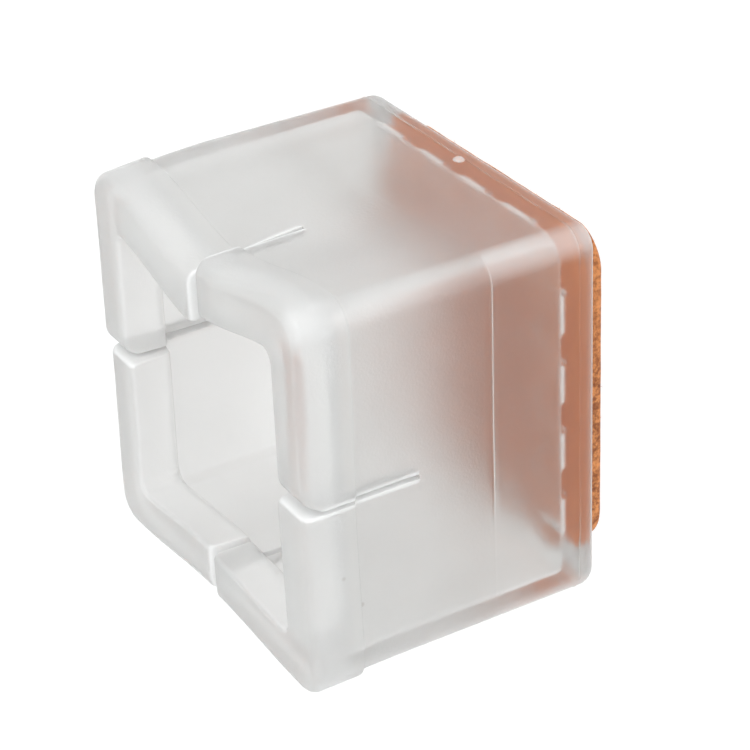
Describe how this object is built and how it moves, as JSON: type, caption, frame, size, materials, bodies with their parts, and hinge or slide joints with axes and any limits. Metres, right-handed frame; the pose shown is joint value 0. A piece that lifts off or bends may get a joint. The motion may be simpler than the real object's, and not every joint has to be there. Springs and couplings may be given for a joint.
{
  "type": "chair leg cap",
  "caption": "Square slip-on chair leg cap of soft translucent elastomer with a slit in each side, a grip bead round the mouth and a felt pad under its base.",
  "frame": {"origin": "middle of the felt pad's underside, where the cap stands on the floor", "axes": "+Z out of the mouth, along the leg; -Y and +X are the two outer sides that the picture shows"},
  "size_m": [0.0408, 0.0408, 0.0351],
  "materials": {
    "elastomer": "soft translucent elastomer, lightly frosted above the parting line and smoother below it",
    "adhesive": "thin pale double-sided adhesive film",
    "felt": "pressed orange-brown felt with mixed fibres"
  },
  "bodies": {
    "cap": {"cap_base": "elastomer", "adhesive_sheet": "adhesive", "felt_pad": "felt"},
    "front_right": {"flap_front_right": "elastomer"},
    "back_right": {"flap_back_right": "elastomer"},
    "back_left": {"flap_back_left": "elastomer"},
    "front_left": {"flap_front_left": "elastomer"}
  },
  "joints": [
    {"name": "front_right_bend", "type": "hinge", "parent": "cap", "child": "front_right", "pos_m": [0.01924, -0.01924, 0.0226], "axis": [0.7071, 0.7071, 0], "range_deg": [0, 16], "stiffness_Nm_per_rad": 0.1},
    {"name": "back_right_bend", "type": "hinge", "parent": "cap", "child": "back_right", "pos_m": [0.01924, 0.01924, 0.0226], "axis": [-0.7071, 0.7071, 0], "range_deg": [0, 16], "stiffness_Nm_per_rad": 0.1},
    {"name": "back_left_bend", "type": "hinge", "parent": "cap", "child": "back_left", "pos_m": [-0.01924, 0.01924, 0.0226], "axis": [-0.7071, -0.7071, 0], "range_deg": [0, 16], "stiffness_Nm_per_rad": 0.1},
    {"name": "front_left_bend", "type": "hinge", "parent": "cap", "child": "front_left", "pos_m": [-0.01924, -0.01924, 0.0226], "axis": [0.7071, -0.7071, 0], "range_deg": [0, 16], "stiffness_Nm_per_rad": 0.1}
  ]
}
